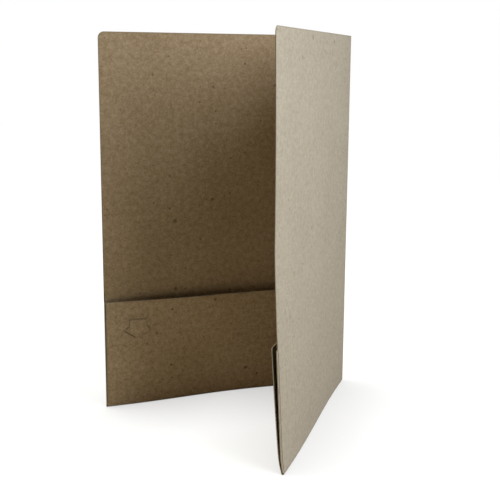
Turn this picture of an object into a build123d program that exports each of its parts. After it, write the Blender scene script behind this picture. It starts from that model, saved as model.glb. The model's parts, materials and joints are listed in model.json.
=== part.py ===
from build123d import *
from math import cos, radians, sin
import os

# Two pocket document folder, one die cut sheet of chipboard folded along its creases.
# It stands open on its two bottom folds. X runs along the front cover towards the spine,
# the inside of the front cover faces -Y, and Z is up. All lengths are in millimetres.

# Whole folder
closed_width = 220.0
closed_height = 310.0
board = 0.6
opening_angle = 51.0
corner_radius = 5.0
crease_gap = 0.1

# Pockets: room is left behind each pocket for the side tab, and between the two pockets when closed
pocket_height = 92.0
tab_clearance = 0.6
closed_clearance = 0.3
pocket_lean_share = 0.09
pocket_edge_inset = 0.8
spine_inset_at_fold = 3.0
spine_inset_at_mouth = 18.0
pocket_foot_gap = 0.4
pocket_corner_radius = 1.5

# Side tabs, folded in behind the pockets, with board left between tongue window and inner edge
tab_width = 48.0
tab_top_drop = 1.5
tab_top_slope = 14.0
tab_foot_slope = 8.0
tab_edge_margin = 9.0
tab_corner_radius = 4.0

# Arrow shaped lock tongues, pushed through a slit near each pocket's outer corner
slit_drop = 16.7
stem_width = 14.2
stem_length = 6.0
shoulder_drop = 2.8
head_width = 21.5
head_length = 7.4
root_length = 4.0
slit_clearance = 0.1
window_clearance = 0.6

# Worked out from the values above
pocket_gap = board + tab_clearance
fold_radius = board + pocket_gap / 2
spine_radius = pocket_gap + 2 * board + closed_clearance
spine_outer = spine_radius + board
cover_width = closed_width - spine_outer - board
pocket_lean = radians(pocket_lean_share * opening_angle)
pocket_top = pocket_height - fold_radius
tab_top = pocket_height - tab_top_drop
slit_level = pocket_top - slit_drop
tab_end = tab_width - cover_width
window_end = tab_end - tab_edge_margin
tongue_x = window_end - window_clearance - head_width / 2

# The hinge line of the spine stands where it centres the open folder on the origin
angle = radians(opening_angle)
depth = spine_outer + cover_width * sin(angle) + spine_radius * cos(angle) + board
axis_x = closed_width / 2 - spine_outer
axis_y = depth / 2 - spine_outer

# Inner face of the front cover: x is zero at the spine and negative towards the outer edge
inner_face = Plane(origin=(axis_x, axis_y + spine_radius, 0), x_dir=(1, 0, 0), z_dir=(0, -1, 0))
# Leaning middle plane of the front pocket, through the hinge line of its bottom fold
pocket_plane = Plane(
    origin=(axis_x, axis_y + spine_radius - pocket_gap / 2, fold_radius),
    x_dir=(1, 0, 0),
    z_dir=(0, -cos(pocket_lean), -sin(pocket_lean)),
)
pocket_back = pocket_plane.offset(pocket_gap / 2)
pocket_face = pocket_back.offset(board)
# Upright plane across that hinge line, at the spine
fold_section = Plane(origin=pocket_plane.origin, x_dir=(0, 1, 0), z_dir=(1, 0, 0))
# Upright plane that halves the opening angle: the back half mirrors the front half about it
halving_plane = Plane(
    origin=(axis_x, axis_y, 0),
    x_dir=(-cos(angle / 2), -sin(angle / 2), 0),
    z_dir=(-sin(angle / 2), cos(angle / 2), 0),
)


def arrow_outline(foot, top_level, grow):
    """Arrow that hangs from top_level past the slit, grown all round, with heights from the foot."""
    stem = stem_width / 2 + grow
    head = head_width / 2 + grow
    neck_level = slit_level - stem_length + grow
    shoulder_level = slit_level - stem_length - shoulder_drop
    tip_level = shoulder_level - head_length - grow
    return [
        (tongue_x - stem, foot + top_level),
        (tongue_x - stem, foot + neck_level),
        (tongue_x - head, foot + shoulder_level),
        (tongue_x, foot + tip_level),
        (tongue_x + head, foot + shoulder_level),
        (tongue_x + stem, foot + neck_level),
        (tongue_x + stem, foot + top_level),
    ]


# Cover panel with a rounded top outer corner
with BuildPart() as front_cover:
    with BuildSketch(inner_face):
        with BuildLine():
            Polyline(
                (-crease_gap, fold_radius),
                (-crease_gap, closed_height),
                (-cover_width, closed_height),
                (-cover_width, fold_radius),
                close=True,
            )
        panel = make_face()
        fillet(panel.vertices().group_by(Axis.Y)[-1].sort_by(Axis.X)[0], corner_radius)
    extrude(amount=-board)

# Side tab, flat against the inside of the cover, with the window that the tongue was cut from
with BuildPart() as front_side_tab:
    with BuildSketch(inner_face):
        with BuildLine():
            Polyline(
                (-cover_width, fold_radius),
                (-cover_width, tab_top),
                (window_end, tab_top),
                (tab_end, tab_top - tab_top_slope),
                (tab_end, fold_radius + tab_foot_slope),
                (window_end, fold_radius),
                close=True,
            )
        flap = make_face()
        fillet(flap.vertices().group_by(Axis.X)[-1], tab_corner_radius)
        with BuildLine():
            window_top = slit_level + root_length + window_clearance
            Polyline(*arrow_outline(fold_radius, window_top, window_clearance), close=True)
        make_face(mode=Mode.SUBTRACT)
    extrude(amount=board)

# Folded outer edge, half round, that joins cover and side tab
with BuildPart() as front_tab_fold:
    with BuildSketch(Plane(origin=inner_face.from_local_coords((-cover_width, fold_radius, 0)))):
        with BuildLine():
            CenterArc((0, 0), board, start_angle=90, arc_size=180)
            Line((0, board), (0, -board))
        make_face()
    extrude(amount=tab_top - fold_radius)

# Pressed bottom fold, half round about the pocket's hinge line
with BuildPart() as front_pocket_fold:
    with BuildSketch(fold_section.offset(-spine_inset_at_fold)):
        with BuildLine():
            CenterArc((0, 0), fold_radius, start_angle=180, arc_size=180)
            Line((-fold_radius, 0), (fold_radius, 0))
        make_face()
    extrude(amount=spine_inset_at_fold - cover_width)

# Pocket panel, cut back at a slant beside the spine, with the slit for its tongue
with BuildPart() as front_pocket:
    with BuildSketch(pocket_back):
        with BuildLine():
            Polyline(
                (-spine_inset_at_fold, pocket_foot_gap),
                (-spine_inset_at_mouth, pocket_top),
                (pocket_edge_inset - cover_width, pocket_top),
                (pocket_edge_inset - cover_width, pocket_foot_gap),
                close=True,
            )
        panel = make_face()
        fillet(panel.vertices().group_by(Axis.Y)[-1], pocket_corner_radius)
        with Locations((tongue_x, slit_level)):
            Rectangle(stem_width + 2 * slit_clearance, board + 2 * slit_clearance, mode=Mode.SUBTRACT)
    extrude(amount=board)

# Lock tongue: arrow on the pocket's face, neck through the slit and root behind the pocket
with BuildPart() as front_lock_tongue:
    with BuildSketch(pocket_face):
        with BuildLine():
            Polyline(*arrow_outline(0, slit_level + board / 2, 0), close=True)
        make_face()
    extrude(amount=board)
    with BuildSketch(pocket_face):
        with Locations((tongue_x, slit_level)):
            Rectangle(stem_width, board)
    extrude(amount=-board)
    with BuildSketch(pocket_back):
        with Locations((tongue_x, slit_level - board / 2)):
            Rectangle(stem_width, root_length, align=(Align.CENTER, Align.MIN))
    extrude(amount=-board)

# Wide rounded spine crease between the two covers
with BuildPart() as spine_fold:
    with BuildSketch(Plane(origin=(axis_x, axis_y, fold_radius))):
        with BuildLine():
            outer = CenterArc((0, 0), spine_outer, opening_angle - 90, 180 - opening_angle)
            inner = CenterArc((0, 0), spine_radius, opening_angle - 90, 180 - opening_angle)
            Line(outer @ 0, inner @ 0)
            Line(outer @ 1, inner @ 1)
        make_face()
    extrude(amount=closed_height - fold_radius)

front_half = {
    "cover": front_cover,
    "side_tab": front_side_tab,
    "tab_fold": front_tab_fold,
    "pocket_fold": front_pocket_fold,
    "pocket": front_pocket,
    "lock_tongue": front_lock_tongue,
}
pieces = {"spine_fold": spine_fold}
for name, piece in front_half.items():
    with BuildPart() as twin:
        mirror(piece.part, about=halving_plane)
    pieces["front_" + name] = piece
    pieces["back_" + name] = twin

os.makedirs("parts", exist_ok=True)
for name, piece in pieces.items():
    piece.part.label = name
    export_step(piece.part, f"parts/{name}.step")
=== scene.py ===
import json
from collections import namedtuple
from math import ceil, cos, pi, radians, sin, sqrt, tan

import bmesh
import bpy
from mathutils import Matrix, Vector
from mathutils.geometry import intersect_point_line


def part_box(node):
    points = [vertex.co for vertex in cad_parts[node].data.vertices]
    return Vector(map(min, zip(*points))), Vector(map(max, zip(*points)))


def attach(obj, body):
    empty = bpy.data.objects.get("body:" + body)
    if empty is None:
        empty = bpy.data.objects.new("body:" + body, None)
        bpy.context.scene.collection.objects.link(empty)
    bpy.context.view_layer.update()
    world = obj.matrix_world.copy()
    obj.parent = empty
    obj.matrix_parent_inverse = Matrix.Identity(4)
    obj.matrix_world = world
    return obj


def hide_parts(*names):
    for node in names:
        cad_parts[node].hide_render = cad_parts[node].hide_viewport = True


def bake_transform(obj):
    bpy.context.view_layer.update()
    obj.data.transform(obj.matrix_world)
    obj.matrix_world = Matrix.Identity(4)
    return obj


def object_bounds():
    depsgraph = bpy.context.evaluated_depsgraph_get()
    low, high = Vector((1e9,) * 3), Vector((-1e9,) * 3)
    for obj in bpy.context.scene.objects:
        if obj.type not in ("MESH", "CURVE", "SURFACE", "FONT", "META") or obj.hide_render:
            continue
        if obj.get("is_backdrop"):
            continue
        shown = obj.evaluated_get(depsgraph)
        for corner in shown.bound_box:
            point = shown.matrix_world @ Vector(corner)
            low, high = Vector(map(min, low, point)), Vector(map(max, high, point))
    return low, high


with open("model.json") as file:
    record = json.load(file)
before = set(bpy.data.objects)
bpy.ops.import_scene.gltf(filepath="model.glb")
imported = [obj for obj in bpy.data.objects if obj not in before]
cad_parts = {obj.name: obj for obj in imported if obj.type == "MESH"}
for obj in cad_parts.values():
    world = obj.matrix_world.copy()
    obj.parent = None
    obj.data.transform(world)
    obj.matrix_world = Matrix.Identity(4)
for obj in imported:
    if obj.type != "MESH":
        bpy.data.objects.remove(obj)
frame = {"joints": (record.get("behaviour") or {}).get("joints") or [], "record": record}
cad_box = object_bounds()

# Two pocket document folder of raw grey-brown chipboard, standing half open on its bottom folds.
# Every board is drawn flat and then bent into place. On each half of the folder a place is given by
# three lengths in metres: along the cover from the spine's hinge line, up from the floor, and inward
# from the cover's inner face. Depth is measured into a board from the face that looks inward.

# Sizes that the frame gives
joints = {joint["name"]: joint for joint in frame["joints"]}
couplings = {coupling["joint"]: coupling for coupling in frame["record"]["behaviour"]["couplings"]}
spine_hinge = Vector(joints["spine_hinge"]["pos_m"][:2] + [0])
opening_angle = Vector(joints["back_pocket_hinge"]["axis"]).angle(Vector((-1, 0, 0)))
pocket_lean = opening_angle * couplings["front_pocket_hinge"]["ratio"]
cover_low, cover_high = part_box("front_cover")
board = cover_high.y - cover_low.y
cover_width = spine_hinge.x - cover_low.x
cover_height = cover_high.z
spine_radius = cover_low.y - spine_hinge.y
fold_radius = cover_low.z
pocket_gap = 2 * (fold_radius - board)
tab_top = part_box("front_side_tab")[1].z

# Covers and cut edges
cover_corner_radius = 0.005
edge_rounding = 0.0001
edge_wear = 1.0
# Scored creases are darkened as worn fibres and as painted shade of their groove
crease_wear_and_shade = 2.5
board_clearance = 0.00005
crease_flange = 0.0015
foot_flange = 0.0006

# Pockets, whose feet reach down inside the ends of their bottom folds, a small step below the surface
pocket_height = 0.092
pocket_edge_inset = 0.0008
spine_inset_at_fold = 0.003
spine_inset_at_mouth = 0.018
pocket_corner_radius = 0.0015
front_mouth_drop = 0.0009
mouth_drop_start = 0.12
pocket_tuck_angle = radians(60)
fold_end_angle = radians(20)
tuck_step = 0.00003

# Side tabs and the bead along their folds
tab_width = 0.048
tab_top_slope = 0.014
tab_foot_slope = 0.008
tab_edge_margin = 0.009
tab_corner_radius = 0.004
bead_radius = 0.00072

# Lock tongues
slit_drop = 0.0167
slit_height = 0.0016
slit_clearance = 0.0002
stem_width = 0.0142
stem_length = 0.006
shoulder_drop = 0.0028
head_width = 0.0225
head_length = 0.0074
root_length = 0.004
window_clearance = 0.0006
tongue_corner_radius = 0.0008
tongue_lift = 0.0005

# Marks pressed into the front pocket: one diagonal, placed from the outer edge and from the floor,
# and one along each lower side of the tongue's head. Each has its own darkening: wear on the diagonal,
# and along the tongue's head a painted shadow of the head, darker on the left
mark_start = (0.0168, 0.025)
mark_end = (0.027, 0.014)
mark_wear = 1.2
left_painted_shadow = 3.0
right_painted_shadow = 1.4
shadow_line_offset = 0.0007
shadow_line_overrun = 0.0012
mark_half_width = 0.0006
mark_depth = 0.00018
mark_fade = 0.0018

# Line scored into each cover's outside, close beside the folded outer edge. Its depth is below zero,
# because it is pressed in from the outside. Its dark line is partly crease wear and partly painted shade
# of the crease groove
score_inset = 0.0007
score_half_width = 0.0014
score_depth = -0.00004
score_wear_and_shade = 2.5

# Warp of the standing board: the front cover's foot bows out, the back cover's outer foot corner
# bends and flares out and its top outer corner leans in
front_bow = 0.0048
front_bow_width = 0.2
front_bow_height = 0.2
back_twist = 0.0073
back_twist_height = 0.16
back_twist_power = 1.2
back_flare = 0.0014
back_flare_height = 0.014
back_top_lean = 0.0012
back_lean_start = 0.19

# Where along its cover's line each pocket starts to stand open, and where it is open by its full lean.
# The back pocket also bulges near its outer edge
front_pocket_shut = 0.275
front_pocket_open = 0.12
back_pocket_shut = 0.314
back_pocket_open = 0.069
back_pocket_bulge = 0.0004
bulge_start = 0.12
bulge_power = 0.6

# Detail of the meshes
grid = 0.004
edge_band = 0.0012
fold_grid = 0.0003
tongue_grid = (0.001, 0.0004)
corner_steps = 8
mark_steps = 2
miter_limit = 0.3
cut_tolerance = 1e-7
same_place = 1e-6

# Places that follow from these sizes, with levels measured up from the pocket's hinge line
fold_line = cover_width - bead_radius
pocket_mouth = pocket_height - fold_radius
slit_level = pocket_mouth - slit_drop
neck_level = slit_level - stem_length
shoulder_level = neck_level - shoulder_drop
tip_level = shoulder_level - head_length
window_end = cover_width - tab_width + tab_edge_margin
tongue_centre = window_end + window_clearance + head_width / 2

# Line pressed into a board, from a start to an end on the flat board, with its width, depth and darkening:
# wear on some marks, painted shade on others
Mark = namedtuple("Mark", "start end half_width depth wear")


def clamp(value):
    """Value kept between zero and one."""
    return min(1, max(0, value))


def smooth(value):
    """Smooth step from zero to one."""
    value = clamp(value)
    return value * value * (3 - 2 * value)


# The two halves


class Half:
    """One cover with its pocket: its bodies, directions and warp, and how its pocket stands open."""

    def __init__(
        self,
        name,
        along,
        inward,
        warp,
        pocket_shut,
        pocket_open,
        pocket_bulge=0.0,
        mouth_drop=0.0,
        marks=(),
    ):
        self.name = name
        self.body = name + "_half"
        self.pocket_body = name + "_pocket_panel"
        self.along = Vector(along)
        self.inward = Vector(inward)
        self.origin = spine_hinge - self.inward * spine_radius
        self.warp = warp
        self.pocket_shut = pocket_shut
        self.pocket_open = pocket_open
        self.pocket_bulge = pocket_bulge
        self.mouth_drop = mouth_drop
        self.marks = marks

    def place(self, along, up, inward):
        """Point in the frame, on the warped half."""
        flat = self.origin + self.along * along + Vector((0, 0, up))
        return flat + self.inward * (inward + self.warp(along, up))

    def pocket_place(self, along, outward, rise):
        """Point of the pocket, given flat from its hinge line, turned open by its share of the lean."""
        turn = pocket_lean * smooth((self.pocket_shut - along) / (self.pocket_shut - self.pocket_open))
        across = clamp((along - bulge_start) / (cover_width - bulge_start))
        height = clamp(rise / pocket_mouth)
        outward += self.pocket_bulge * across ** 2 * sin(pi * height ** bulge_power)
        inward = pocket_gap / 2 + outward * cos(turn) + rise * sin(turn)
        up = fold_radius + rise * cos(turn) - outward * sin(turn)
        return self.place(along, up, inward)


def front_warp(along, up):
    """Outward bow of the front cover's foot, level with the plane again towards the top."""
    across = clamp(along / front_bow_width)
    above = max(0, 1 - up / front_bow_height)
    return -front_bow * sin(pi * across) ** 2 * above ** 2


def back_warp(along, up):
    """Twist of the back cover: out at its outer foot corner and slightly in at its top."""
    low = max(0, 1 - up / back_twist_height) ** back_twist_power
    foot = max(0, 1 - up / back_flare_height) ** 2
    high = max(0, (up - back_lean_start) / (cover_height - back_lean_start)) ** 2
    return smooth(along / cover_width) * (back_top_lean * high - back_twist * low - back_flare * foot)


def pocket_marks():
    """Diagonal mark on the front pocket, and the painted shadow lines along the lower sides of the
    tongue's head.
    """
    ends = [Vector((cover_width - inset, up - fold_radius)) for inset, up in (mark_start, mark_end)]
    marks = [Mark(*ends, mark_half_width, mark_depth, mark_wear)]
    tip = Vector((tongue_centre, tip_level))
    for outward, shadow_strength in ((1, left_painted_shadow), (-1, right_painted_shadow)):
        corner = Vector((tongue_centre + outward * head_width / 2, shoulder_level))
        offset = Vector((outward * head_length, -head_width / 2)).normalized() * shadow_line_offset
        overrun = (corner - tip).normalized() * shadow_line_overrun
        shadow_ends = corner + offset + overrun, tip + offset
        marks.append(Mark(*shadow_ends, mark_half_width, mark_depth, shadow_strength))
    return marks


front = Half(
    "front",
    (-1, 0, 0),
    (0, -1, 0),
    front_warp,
    front_pocket_shut,
    front_pocket_open,
    mouth_drop=front_mouth_drop,
    marks=pocket_marks(),
)
back = Half(
    "back",
    (-cos(opening_angle), -sin(opening_angle), 0),
    (-sin(opening_angle), cos(opening_angle), 0),
    back_warp,
    back_pocket_shut,
    back_pocket_open,
    pocket_bulge=back_pocket_bulge,
)


# Board meshes


def rounded(points, radii):
    """Outline with an arc of the given radius at each corner; a radius of zero keeps the corner."""
    outline = []
    for index, radius in enumerate(radii):
        corner = Vector(points[index])
        if radius == 0:
            outline.append(corner)
            continue
        to_last = (Vector(points[index - 1]) - corner).normalized()
        to_next = (Vector(points[(index + 1) % len(points)]) - corner).normalized()
        half_angle = to_last.angle(to_next) / 2
        middle = corner + (to_last + to_next).normalized() * (radius / sin(half_angle))
        spoke = corner + to_last * (radius / tan(half_angle)) - middle
        sweep = pi - 2 * half_angle
        if to_last.cross(to_next) > 0:
            sweep = -sweep
        for step in range(corner_steps + 1):
            outline.append(middle + Matrix.Rotation(sweep * step / corner_steps, 2) @ spoke)
    return outline


def inside(point, polygon):
    """Whether a flat point lies inside a polygon."""
    found = False
    for index, (x, y) in enumerate(polygon):
        last_x, last_y = polygon[index - 1]
        if (y > point.y) != (last_y > point.y):
            if point.x < x + (point.y - y) * (last_x - x) / (last_y - y):
                found = not found
    return found


def cut(flat, point, normal, faces=None):
    """Cuts a flat mesh, or only some of its faces, along a line."""
    geometry = flat.verts[:] + flat.edges[:] + flat.faces[:]
    if faces is not None:
        items = (item for face in faces for item in (*face.verts, *face.edges, face))
        geometry = list(dict.fromkeys(items))
    bmesh.ops.bisect_plane(
        flat,
        geom=geometry,
        dist=cut_tolerance,
        plane_co=point.to_3d(),
        plane_no=normal.to_3d(),
    )


def grid_lines(low, high, spacing, band):
    """Places to cut between two sides: evenly, and once close to each side."""
    count = max(1, ceil((high - low) / spacing))
    lines = [low + (high - low) * step / count for step in range(1, count)]
    if band:
        lines += [low + band, high - band]
    return lines


def press_lines(flat, mark):
    """Cuts the faces around a pressed line into narrow strips along it."""
    run = (mark.end - mark.start).normalized()
    side = Vector((-run.y, run.x))
    reach = (mark.end - mark.start).length / 2 + grid
    middle = (mark.start + mark.end) / 2
    lines = [(mark.start, run), (mark.end, run)]
    for step in range(-mark_steps, mark_steps + 1):
        lines.append((middle + side * (mark.half_width * step / mark_steps), side))
    for point, normal in lines:
        near = [face for face in flat.faces if (face.calc_center_median().xy - middle).length < reach]
        cut(flat, point, normal, near)


def pressed(point, marks):
    """How deep a flat point is pressed in by the marks near it, and how much they darken it, as wear and
    as painted shade.
    """
    depth, wear = 0.0, 0.0
    for mark in marks:
        nearest, share = intersect_point_line(point, mark.start, mark.end)
        to_end = min(share, 1 - share) * (mark.end - mark.start).length
        strength = clamp(to_end / mark_fade) * max(0, 1 - (point - nearest.xy).length / mark.half_width)
        depth += mark.depth * strength
        wear = max(wear, mark.wear * strength)
    return depth, wear


def flat_board(outline, spacing, band, holes, marks):
    """Flat mesh over an outline, cut into a grid, with open holes and strips along pressed marks."""
    flat = bmesh.new()
    flat.faces.new([flat.verts.new((x, y, 0)) for x, y in outline])
    for axis, step in enumerate(spacing):
        normal = Vector((1, 0)) if axis == 0 else Vector((0, 1))
        values = [point[axis] for point in outline]
        for line in grid_lines(min(values), max(values), step, band):
            cut(flat, normal * line, normal)
    for hole in holes:
        for index, corner in enumerate(hole):
            side = Vector(corner) - Vector(hole[index - 1])
            cut(flat, Vector(corner), Vector((-side.y, side.x)))
        lost = [face for face in flat.faces if inside(face.calc_center_median(), hole)]
        bmesh.ops.delete(flat, geom=lost, context="FACES")
    for mark in marks:
        press_lines(flat, mark)
    wide = [face for face in flat.faces if len(face.verts) > 4]
    bmesh.ops.triangulate(flat, faces=wide)
    flat.normal_update()
    flat.verts.index_update()
    flat.verts.ensure_lookup_table()
    return flat


def edge_insets(flat, flush):
    """How far each vertex on the outline moves in, so that the cut edge is rounded.
    Sides named in flush join another board and keep a square end."""
    normals = {}
    for edge in flat.edges:
        if not edge.is_boundary:
            continue
        loop = edge.link_loops[0]
        side = loop.link_loop_next.vert.co - loop.vert.co
        normal = Vector((-side.y, side.x, 0)).normalized()
        if loop.face.normal.z < 0:
            normal = -normal
        for vertex in edge.verts:
            normals.setdefault(vertex.index, []).append(normal)
    insets = {}
    for index, found in normals.items():
        total = found[0] + found[-1]
        inset = total * (edge_rounding / max(miter_limit, 1 + found[0].dot(found[-1])))
        for axis, level in flush:
            if abs(flat.verts[index].co[axis] - level) < same_place:
                inset[axis] = 0
        insets[index] = inset
    return insets


def keep_pattern(mesh, places, wear):
    """Keeps each point's place on the flat board, and its wear and painted shade, for the materials.
    Every board takes its own stretch of their pattern."""
    shift = Vector((len(bpy.data.meshes), 0, 0))
    mesh.attributes.new("board_place", "FLOAT_VECTOR", "POINT")
    for item, place in zip(mesh.attributes["board_place"].data, places):
        item.vector = Vector(place) + shift
    mesh.attributes.new("board_wear_and_shade", "FLOAT", "POINT")
    mesh.attributes["board_wear_and_shade"].data.foreach_set("value", wear)


def finish_faces(mesh, finish, sheet_faces):
    """Gives the two sides of a board and its cut edge their materials, with a crisp line between them."""
    for material in finish:
        mesh.materials.append(material)
    for polygon in mesh.polygons:
        polygon.material_index = polygon.index % 2 if polygon.index < sheet_faces else 2
        polygon.use_smooth = True
    solid = bmesh.new()
    solid.from_mesh(mesh)
    bmesh.ops.recalc_face_normals(solid, faces=solid.faces)
    for edge in solid.edges:
        first, last = edge.link_faces[0], edge.link_faces[-1]
        edge.smooth = first.material_index == last.material_index
    solid.to_mesh(mesh)
    solid.free()


def board_piece(
    name,
    outline,
    bend,
    finish,
    spacing,
    band=edge_band,
    holes=(),
    flush=(),
    scored=(),
    marks=(),
):
    """Closed board over a flat outline, bent into place, with rounded cut edges.
    The finish is the materials of the face that looks inward, the one that looks outward and the cut edge.
    Sides named in scored are darkened along their crease, as wear and as painted shade, and marks are
    lines pressed into the board."""
    flat = flat_board(outline, spacing, band, holes, marks)
    insets = edge_insets(flat, flush)
    points, places, wear = [], [], []

    def add(vertex, inset, depth):
        x, y = vertex.co.x + inset.x, vertex.co.y + inset.y
        dent, mark_wear_and_shade = pressed(Vector((x, y)), marks)
        points.append(bend(x, y, depth + dent))
        places.append((x, y, depth))
        on_crease = any(abs(vertex.co[axis] - level) < same_place for axis, level in scored)
        own_wear = edge_wear if vertex.index in insets else 0.0
        wear.append(crease_wear_and_shade if on_crease else max(mark_wear_and_shade, own_wear))
        return len(points) - 1

    still = Vector((0, 0, 0))
    inner = [add(vertex, insets.get(vertex.index, still), 0) for vertex in flat.verts]
    outer = [add(vertex, insets.get(vertex.index, still), board) for vertex in flat.verts]
    rim_in = {index: add(flat.verts[index], still, edge_rounding) for index in insets}
    rim_out = {index: add(flat.verts[index], still, board - edge_rounding) for index in insets}
    faces = []
    for face in flat.faces:
        corners = [vertex.index for vertex in face.verts]
        faces.append([inner[index] for index in corners])
        faces.append([outer[index] for index in reversed(corners)])
    sheet_faces = len(faces)
    rows = [inner, rim_in, rim_out, outer]
    for edge in flat.edges:
        if not edge.is_boundary:
            continue
        first, last = (vertex.index for vertex in edge.verts)
        for row, next_row in zip(rows, rows[1:]):
            faces.append([row[first], row[last], next_row[last], next_row[first]])
    flat.free()

    mesh = bpy.data.meshes.new(name)
    mesh.from_pydata(points, [], faces)
    keep_pattern(mesh, places, wear)
    finish_faces(mesh, finish, sheet_faces)
    piece = bpy.data.objects.new(name, mesh)
    bpy.context.scene.collection.objects.link(piece)
    return piece


# Materials

fibre_colour = (0.60, 0.54, 0.43, 1)
# Dark colour of specks and dark fibres, also mixed in as painted shade along creases and marks
speck_and_shade_colour = (0.10, 0.075, 0.05, 1)

# Tones of the board: colour, how far the grain departs from it, and the colour of worn edges, which
# creases and marks also take as painted shade
Tone = namedtuple("Tone", "colour spread worn")
grey_face = Tone((0.46, 0.41, 0.335), 0.16, (0.33, 0.29, 0.225))
brown_face = Tone((0.42, 0.313, 0.194), 0.28, (0.30, 0.24, 0.15))
# The pocket's face is the inner face's tone made lighter, as painted light
pocket_face_painted_light = Tone((0.48, 0.364, 0.232), 0.32, (0.34, 0.27, 0.17))
core = Tone((0.355, 0.30, 0.215), 0.2, (0.26, 0.22, 0.155))
pale_core = Tone((0.37, 0.31, 0.23), 0.2, (0.42, 0.35, 0.26))
tongue_core = Tone((0.36, 0.305, 0.222), 0.2, (0.33, 0.28, 0.2))
crease = Tone((0.52, 0.455, 0.36), 0.15, (0.54, 0.47, 0.38))
# Painted shade: a near-black tone for the back of each pocket, standing in for the shade inside the pocket
# and in the gap at the cover's outer edge
painted_pocket_shade = Tone((0.10, 0.08, 0.05), 0.3, (0.12, 0.10, 0.065))

# Noises that make up the grain: lumps in a metre, detail, roughness and share of the grain
Layer = namedtuple("Layer", "name per_metre detail rough share")
layers = (
    Layer("clouds", 22.0, 3.0, 0.5, 0.14),
    Layer("mottle", 240.0, 2.0, 0.6, 0.37),
    Layer("flecks", 620.0, 2.0, 0.6, 0.37),
    Layer("grain", 1500.0, 2.0, 0.6, 0.12),
)
grain_range = (0.38, 0.62)
mottle_range = (0.3, 0.7)

# Fibres on the surface: angle, lengths and widths in a metre, the level of noise where they start to show,
# and strength
Hairs = namedtuple("Hairs", "name angle length_per_metre width_per_metre threshold strength colour")
hair_kinds = (
    Hairs("pale_hairs", radians(24), 220.0, 2600.0, 0.66, 0.5, fibre_colour),
    Hairs("dark_hairs", radians(-37), 260.0, 2600.0, 0.68, 0.35, speck_and_shade_colour),
)
hair_softness = 0.08
hair_detail = 1.0

# Specks: cells in a metre, share of cells with a speck, largest radius, softness as a share of that,
# and strength for each unit of the tone's spread. A wobble makes their outlines uneven
Specks = namedtuple("Specks", "name per_metre share size softness strength colour")
speck_kinds = (
    Specks("pale_specks", 110.0, 0.25, 0.0007, 0.3, 1.2, fibre_colour),
    Specks("fine_specks", 260.0, 0.3, 0.0005, 0.2, 2.0, speck_and_shade_colour),
    Specks("dark_specks", 75.0, 0.36, 0.0014, 0.6, 2.8, speck_and_shade_colour),
    Specks("blots", 32.0, 0.4, 0.0026, 0.5, 2.4, speck_and_shade_colour),
)
wobbles_per_cell = 9
wobble_reach = 0.0006

# Wear, gloss and relief of the board
worn_share_range = (0.3, 0.9)
roughness_range = (0.8, 0.95)
board_specular = 0.25
hair_relief = 0.5
speck_relief = 0.3
bump_strength = 0.5
bump_distance = 0.0001


def node(tree, kind, inputs, **settings):
    """New node with its settings made and its inputs set or linked."""
    made = tree.nodes.new("ShaderNode" + kind)
    for name, value in settings.items():
        setattr(made, name, value)
    for key, value in inputs.items():
        if isinstance(value, bpy.types.NodeSocket):
            tree.links.new(value, made.inputs[key])
        else:
            made.inputs[key].default_value = value
    return made


def work_out(tree, operation, *values):
    """Output of a Math node."""
    return node(tree, "Math", dict(enumerate(values)), operation=operation).outputs[0]


def mix(tree, share, first, second):
    """Output of a colour mix."""
    return node(tree, "Mix", {0: share, 6: first, 7: second}, data_type="RGBA").outputs[2]


def noise(tree, place, per_metre, detail, rough=0.5):
    """Output of a noise with the given number of lumps in a metre."""
    inputs = {"Vector": place, "Scale": per_metre, "Detail": detail, "Roughness": rough}
    return node(tree, "TexNoise", inputs).outputs[0]


def ramp(tree, value, low, high, to_low=0.0, to_high=1.0):
    """Value stretched from one range to another and clamped."""
    inputs = {0: value, 1: low, 2: high, 3: to_low, 4: to_high}
    return node(tree, "MapRange", inputs).outputs[0]


def hair_mask(tree, place, hairs):
    """Mask of short straight fibres that lie at an angle."""
    turned = node(tree, "Mapping", {"Vector": place, "Rotation": (0, 0, hairs.angle)}).outputs[0]
    scale = (hairs.width_per_metre, hairs.length_per_metre, hairs.width_per_metre)
    stretched = node(tree, "Mapping", {"Vector": turned, "Scale": scale}).outputs[0]
    lumps = noise(tree, stretched, 1.0, hair_detail)
    return ramp(tree, lumps, hairs.threshold, hairs.threshold + hair_softness)


def speck_mask(tree, place, specks):
    """Mask of round specks: one in each cell of a scattered pattern, in only a share of the cells."""
    wobble_scale = specks.per_metre * wobbles_per_cell
    wobble = node(tree, "TexNoise", {"Vector": place, "Scale": wobble_scale}).outputs["Color"]
    terms = {0: wobble, 1: (wobble_reach, wobble_reach, wobble_reach), 2: place}
    shifted = node(tree, "VectorMath", terms, operation="MULTIPLY_ADD").outputs[0]
    pattern = {"Vector": shifted, "Scale": specks.per_metre}
    cells = node(tree, "TexVoronoi", pattern, voronoi_dimensions="2D")
    chance = node(tree, "SeparateColor", {0: cells.outputs["Color"]}).outputs[0]
    largest = specks.size * specks.per_metre
    radius = ramp(tree, chance, 1.0 - specks.share, 1.0, 0.0, largest)
    near = work_out(tree, "SUBTRACT", radius, cells.outputs["Distance"])
    return ramp(tree, near, 0.0, specks.softness * largest)


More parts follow.
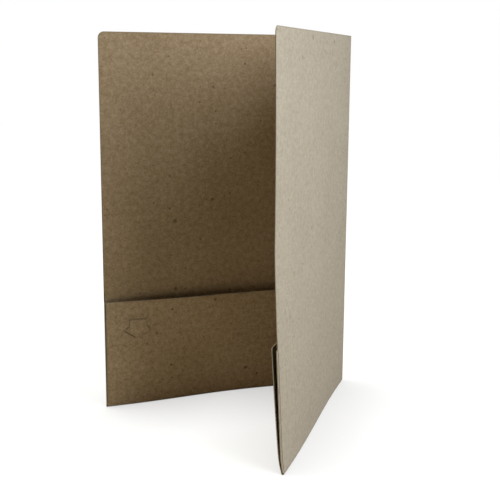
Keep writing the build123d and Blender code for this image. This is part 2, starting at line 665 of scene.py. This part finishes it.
def board_material(name, tone):
    """Raw recycled board: cloudy grain, fibres, dark and pale specks, worn edges, and painted shade along
    creases and some pressed marks.
    """
    material = bpy.data.materials.new(name)
    material.use_nodes = True
    tree = material.node_tree
    shader = tree.nodes["Principled BSDF"]
    place = node(tree, "Attribute", {}, attribute_name="board_place").outputs["Vector"]
    wear = node(tree, "Attribute", {}, attribute_name="board_wear_and_shade").outputs["Fac"]

    masks = {}
    level = 0.0
    for layer in layers:
        masks[layer.name] = noise(tree, place, layer.per_metre, layer.detail, layer.rough)
        level = work_out(tree, "MULTIPLY_ADD", masks[layer.name], layer.share, level)
    green = tone.colour[1]
    steps = [tone.spread * sqrt(value * green) for value in tone.colour]
    light = (*[value + step for value, step in zip(tone.colour, steps)], 1)
    dark = (*[value - step for value, step in zip(tone.colour, steps)], 1)
    colour = mix(tree, ramp(tree, level, *grain_range), dark, light)

    for hairs in hair_kinds:
        masks[hairs.name] = hair_mask(tree, place, hairs)
        share = work_out(tree, "MULTIPLY", masks[hairs.name], hairs.strength)
        colour = mix(tree, share, colour, hairs.colour)
    for specks in speck_kinds:
        masks[specks.name] = speck_mask(tree, place, specks)
        share = work_out(tree, "MULTIPLY", masks[specks.name], specks.strength * tone.spread)
        colour = mix(tree, share, colour, specks.colour)

    # Worn edges; creases and pressed marks darken further, as wear and as painted shade
    worn_share = ramp(tree, masks["mottle"], *mottle_range, *worn_share_range)
    colour = mix(tree, work_out(tree, "MULTIPLY", wear, worn_share), colour, (*tone.worn, 1))
    colour = mix(tree, ramp(tree, wear, edge_wear, crease_wear_and_shade), colour, speck_and_shade_colour)
    tree.links.new(colour, shader.inputs["Base Color"])
    roughness = ramp(tree, masks["mottle"], *mottle_range, *roughness_range)
    tree.links.new(roughness, shader.inputs["Roughness"])
    shader.inputs["Specular IOR Level"].default_value = board_specular

    relief = work_out(tree, "MULTIPLY_ADD", masks["pale_hairs"], hair_relief, masks["grain"])
    relief = work_out(tree, "ADD", relief, masks["flecks"])
    pits = work_out(tree, "MULTIPLY", masks["fine_specks"], speck_relief)
    relief = work_out(tree, "SUBTRACT", relief, pits)
    bump = node(tree, "Bump", {"Strength": bump_strength, "Distance": bump_distance, "Height": relief})
    tree.links.new(bump.outputs[0], shader.inputs["Normal"])
    return material


outer_face = board_material("chipboard_outer_face", grey_face)
inner_face = board_material("chipboard_inner_face", brown_face)
# Pocket face with painted light; the tongues and side tabs use it too
pocket_front_painted_light = board_material("chipboard_pocket_face", pocket_face_painted_light)
cut_edge = board_material("chipboard_cut_edge", core)
pocket_edge = board_material("chipboard_pocket_edge", pale_core)
tongue_edge = board_material("chipboard_tongue_edge", tongue_core)
fold_face = board_material("chipboard_fold", crease)
# Back of each pocket, painted dark as shade
pocket_back_painted_shade = board_material("chipboard_pocket_back", painted_pocket_shade)

cover_finish = (inner_face, outer_face, cut_edge)
pocket_finish = (pocket_front_painted_light, pocket_back_painted_shade, pocket_edge)
tongue_finish = (pocket_front_painted_light, inner_face, tongue_edge)
bead_finish = (inner_face, fold_face, cut_edge)


# Sub-parts of each half


def dress(node_name):
    """Hides the solid in the part file that a piece stands for."""
    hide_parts(node_name)


def follow_pocket(piece, half):
    """Bakes a piece's place into its mesh."""
    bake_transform(piece)


def make_cover(half):
    """Cover panel from the flange of the spine crease to the outer edge, with a rounded top corner."""
    foot = fold_radius + foot_flange
    outline = rounded(
        [
            (crease_flange, fold_radius),
            (spine_inset_at_fold, fold_radius),
            (spine_inset_at_fold, foot),
            (fold_line, foot),
            (fold_line, tab_top),
            (cover_width, tab_top),
            (cover_width, cover_height),
            (crease_flange, cover_height),
        ],
        [0, 0, 0, 0, 0, 0, cover_corner_radius, 0],
    )

    def bend(along, up, depth):
        return half.place(along, up, -depth)

    score_ends = [Vector((fold_line - score_inset, up)) for up in (foot, tab_top)]
    piece = board_piece(
        half.name + "_cover_board",
        outline,
        bend,
        cover_finish,
        (grid, grid),
        flush=[(0, crease_flange), (1, foot)],
        scored=[(0, fold_line)],
        marks=[Mark(*score_ends, score_half_width, score_depth, score_wear_and_shade)],
    )
    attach(piece, half.body)
    dress(half.name + "_cover")


def make_foot_fold(half):
    """Pressed bottom fold: up the cover by a flange, and round to the foot of the pocket."""
    middle = fold_radius - board / 2
    sweep = pi - fold_end_angle
    length = foot_flange + middle * sweep
    outline = [
        (spine_inset_at_fold, 0),
        (cover_width, 0),
        (cover_width, length),
        (spine_inset_at_fold, length),
    ]

    def bend(along, run, depth):
        if run < foot_flange:
            return half.place(along, fold_radius + foot_flange - run, -depth)
        turn = (run - foot_flange) / middle
        radius = pocket_gap / 2 + depth
        return half.place(along, fold_radius - radius * sin(turn), pocket_gap / 2 - radius * cos(turn))

    piece = board_piece(
        half.name + "_foot_fold",
        outline,
        bend,
        cover_finish,
        (grid, fold_grid),
        band=0,
        flush=[(1, 0), (1, length)],
    )
    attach(piece, half.body)
    dress(half.name + "_pocket_fold")


def make_edge_fold(half):
    """Bead along the outer edge, where the side tab is folded in."""
    radius = bead_radius - board / 2
    length = pi * radius
    outline = [(0, fold_radius), (length, fold_radius), (length, tab_top), (0, tab_top)]

    def bend(run, up, depth):
        turn = pi / 2 - run / radius
        reach = bead_radius - board + depth
        return half.place(fold_line + reach * cos(turn), up, reach * sin(turn))

    piece = board_piece(
        half.name + "_edge_fold",
        outline,
        bend,
        bead_finish,
        (fold_grid, grid),
        band=0,
        scored=[(0, length)],
    )
    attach(piece, half.body)
    dress(half.name + "_tab_fold")


def arrow(top_level, grow):
    """Outline of the lock tongue, grown all round, from its tip up to a level."""
    stem = stem_width / 2 + grow
    head = head_width / 2 + grow
    return [
        (tongue_centre, tip_level - grow),
        (tongue_centre + head, shoulder_level),
        (tongue_centre + stem, neck_level + grow),
        (tongue_centre + stem, top_level),
        (tongue_centre - stem, top_level),
        (tongue_centre - stem, neck_level + grow),
        (tongue_centre - head, shoulder_level),
    ]


def make_side_tab(half):
    """Side tab on the inside of the cover, with the window that its tongue was cut from."""
    inner_edge = cover_width - tab_width
    outline = rounded(
        [
            (window_end, fold_radius),
            (fold_line, fold_radius),
            (fold_line, tab_top),
            (window_end, tab_top),
            (inner_edge, tab_top - tab_top_slope),
            (inner_edge, fold_radius + tab_foot_slope),
        ],
        [0, 0, 0, 0, tab_corner_radius, tab_corner_radius],
    )
    window_top = slit_level + root_length + window_clearance
    window = [(along, rise + fold_radius) for along, rise in arrow(window_top, window_clearance)]

    def bend(along, up, depth):
        return half.place(along, up, board_clearance + board - depth)

    piece = board_piece(
        half.name + "_side_tab_board",
        outline,
        bend,
        tongue_finish,
        (grid, grid),
        holes=[window],
    )
    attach(piece, half.body)
    dress(half.name + "_side_tab")


def make_pocket(half):
    """Pocket panel, tucked into its bottom fold, cut back beside the spine, with the tongue's slit."""
    foot = -fold_radius * pocket_tuck_angle
    outer_edge = cover_width - pocket_edge_inset
    outline = rounded(
        [
            (spine_inset_at_fold, foot),
            (outer_edge, foot),
            (outer_edge, pocket_mouth - half.mouth_drop),
            (mouth_drop_start, pocket_mouth),
            (spine_inset_at_mouth, pocket_mouth),
            (spine_inset_at_fold, 0),
        ],
        [0, 0, pocket_corner_radius, 0, pocket_corner_radius, 0],
    )
    half_slit = stem_width / 2 + slit_clearance
    slit = [
        (tongue_centre - half_slit, slit_level - slit_height / 2),
        (tongue_centre + half_slit, slit_level - slit_height / 2),
        (tongue_centre + half_slit, slit_level + slit_height / 2),
        (tongue_centre - half_slit, slit_level + slit_height / 2),
    ]

    def bend(along, rise, depth):
        radius = fold_radius - tuck_step - depth
        if rise >= 0:
            return half.pocket_place(along, radius, rise)
        turn = rise / fold_radius
        return half.pocket_place(along, radius * cos(turn), radius * sin(turn))

    piece = board_piece(
        half.name + "_pocket_board",
        outline,
        bend,
        pocket_finish,
        (grid, grid),
        holes=[slit],
        marks=half.marks,
    )
    follow_pocket(piece, half)
    dress(half.name + "_pocket")


def make_tongue(half):
    """Lock tongue: an arrow on the pocket's face that dips through the slit to its root behind."""
    radius = tongue_corner_radius
    outline = rounded(arrow(slit_level + root_length, 0), [radius, radius, 0, 0, 0, 0, radius])

    def bend(along, rise, depth):
        dip = smooth((rise - slit_level) / slit_height + 0.5)
        lift = tongue_lift * clamp((slit_level - rise) / stem_length)
        before = fold_radius + board + board_clearance + lift
        behind = fold_radius - board - 2 * board_clearance
        return half.pocket_place(along, before + (behind - before) * dip - depth, rise)

    piece = board_piece(
        half.name + "_lock_tongue_board",
        outline,
        bend,
        tongue_finish,
        tongue_grid,
        band=0,
    )
    follow_pocket(piece, half)
    dress(half.name + "_lock_tongue")


def make_spine():
    """Wide rounded spine crease, with a flat flange on each cover."""
    middle = spine_radius + board / 2
    arc = middle * (pi - opening_angle)
    outline = [
        (-crease_flange, fold_radius),
        (arc + crease_flange, fold_radius),
        (arc + crease_flange, cover_height),
        (-crease_flange, cover_height),
    ]

    def bend(run, up, depth):
        if run <= 0:
            return front.place(-run, up, -depth)
        if run >= arc:
            return back.place(run - arc, up, -depth)
        turn = pi / 2 - run / middle
        reach = spine_radius + depth
        return spine_hinge + Vector((reach * cos(turn), reach * sin(turn), up))

    piece = board_piece(
        "spine_crease",
        outline,
        bend,
        cover_finish,
        (fold_grid, grid),
        band=0,
        flush=[(0, -crease_flange), (0, arc + crease_flange)],
    )
    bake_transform(piece)
    dress("spine_fold")


for side in (front, back):
    make_cover(side)
    make_foot_fold(side)
    make_edge_fold(side)
    make_side_tab(side)
    make_pocket(side)
    make_tongue(side)
make_spine()


# Floor, light and camera

floor_drop = 0.0002
floor_half = 4.0
floor_roughness = 0.9
floor_colour = (0.86, 0.78, 0.65, 1)
floor_shade = (0.32, 0.32, 0.32, 1)
shut_glow = 0.45
open_glow = 0.88
glow_near = 0.2
glow_far = 0.45
contact_reach = 0.09
contact_samples = 16
sky_colour = (1, 1, 1, 1)
sky_strength = 0.02

# Soft boxes that face a point in the folder, with their power in watts
SoftBox = namedtuple("SoftBox", "name place width height power colour")
soft_boxes = (
    SoftBox("key", (0.272, -0.472, 0.49), 0.4, 0.6, 3.72, (0.965, 0.985, 1)),
    SoftBox("rear", (-0.29, 0.29, 1.28), 0.8, 0.8, 8.95, (1, 1, 0.87)),
)
lamp_aim = (0, 0, 0.15)

camera_place = (-0.26293, -0.67107, 0.28288)
camera_yaw = radians(-20.4538)
camera_pitch = radians(79.0929)
camera_roll = radians(0.3735)
camera_lens = 68.239
camera_sensor = 36.0


def shown_share(tree):
    """One where the camera or a reflection looks at the backdrop, zero where it lights the folder."""
    path = node(tree, "LightPath", {})
    shown = work_out(tree, "MAXIMUM", path.outputs["Is Camera Ray"], path.outputs["Is Glossy Ray"])
    return work_out(tree, "MAXIMUM", shown, path.outputs["Is Transmission Ray"])


def make_floor():
    """Pale floor that shows plain white, with the folder's shadow on it."""
    mesh = bpy.data.meshes.new("floor")
    signs = [(-1, -1), (1, -1), (1, 1), (-1, 1)]
    corners = [(x * floor_half, y * floor_half, -floor_drop) for x, y in signs]
    mesh.from_pydata(corners, [], [(0, 1, 2, 3)])
    floor = bpy.data.objects.new("floor", mesh)
    bpy.context.scene.collection.objects.link(floor)
    floor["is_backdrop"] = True
    material = bpy.data.materials.new("floor_paper")
    material.use_nodes = True
    tree = material.node_tree
    shader = tree.nodes["Principled BSDF"]
    shown = shown_share(tree)
    place = node(tree, "TexCoord", {}).outputs["Object"]
    distance = node(tree, "VectorMath", {0: place}, operation="LENGTH").outputs["Value"]
    contact = node(tree, "AmbientOcclusion", {"Distance": contact_reach}, samples=contact_samples)
    glow = ramp(tree, contact.outputs["AO"], 0.0, 1.0, shut_glow, open_glow)
    glow = work_out(tree, "MAXIMUM", glow, ramp(tree, distance, glow_near, glow_far))
    tree.links.new(work_out(tree, "MULTIPLY", shown, glow), shader.inputs["Emission Strength"])
    tree.links.new(mix(tree, shown, floor_colour, floor_shade), shader.inputs["Base Color"])
    shader.inputs["Emission Color"].default_value = sky_colour
    shader.inputs["Roughness"].default_value = floor_roughness
    shader.inputs["Specular IOR Level"].default_value = 0.0
    mesh.materials.append(material)


def make_sky():
    """Even soft light from all round, that shows as plain white."""
    world = bpy.data.worlds.new("studio")
    bpy.context.scene.world = world
    world.use_nodes = True
    tree = world.node_tree
    background = tree.nodes["Background"]
    background.inputs["Color"].default_value = sky_colour
    strength = ramp(tree, shown_share(tree), 0.0, 1.0, sky_strength, 1.0)
    tree.links.new(strength, background.inputs["Strength"])


def make_lights():
    """Soft boxes in front of the folder and high behind it."""
    for soft_box in soft_boxes:
        lamp = bpy.data.lights.new(soft_box.name, "AREA")
        lamp.shape = "RECTANGLE"
        lamp.size = soft_box.width
        lamp.size_y = soft_box.height
        lamp.energy = soft_box.power
        lamp.color = soft_box.colour
        stand = bpy.data.objects.new(soft_box.name, lamp)
        stand.location = soft_box.place
        facing = Vector(lamp_aim) - Vector(soft_box.place)
        stand.rotation_euler = facing.to_track_quat("-Z", "Y").to_euler()
        stand.visible_camera = False
        bpy.context.scene.collection.objects.link(stand)


def make_camera():
    """Camera at the photograph's place and angle."""
    data = bpy.data.cameras.new("camera")
    data.lens = camera_lens
    data.sensor_width = camera_sensor
    camera = bpy.data.objects.new("camera", data)
    turn = Matrix.Rotation(camera_yaw, 4, "Z") @ Matrix.Rotation(camera_pitch, 4, "X")
    turn = turn @ Matrix.Rotation(camera_roll, 4, "Z")
    camera.matrix_world = Matrix.Translation(camera_place) @ turn
    bpy.context.scene.collection.objects.link(camera)
    bpy.context.scene.camera = camera


make_floor()
make_sky()
make_lights()
make_camera()
bpy.context.scene.view_settings.view_transform = "Standard"

boxes = {"cad": cad_box, "visual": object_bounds()}
{name: [list(low), list(high)] for name, (low, high) in boxes.items()}
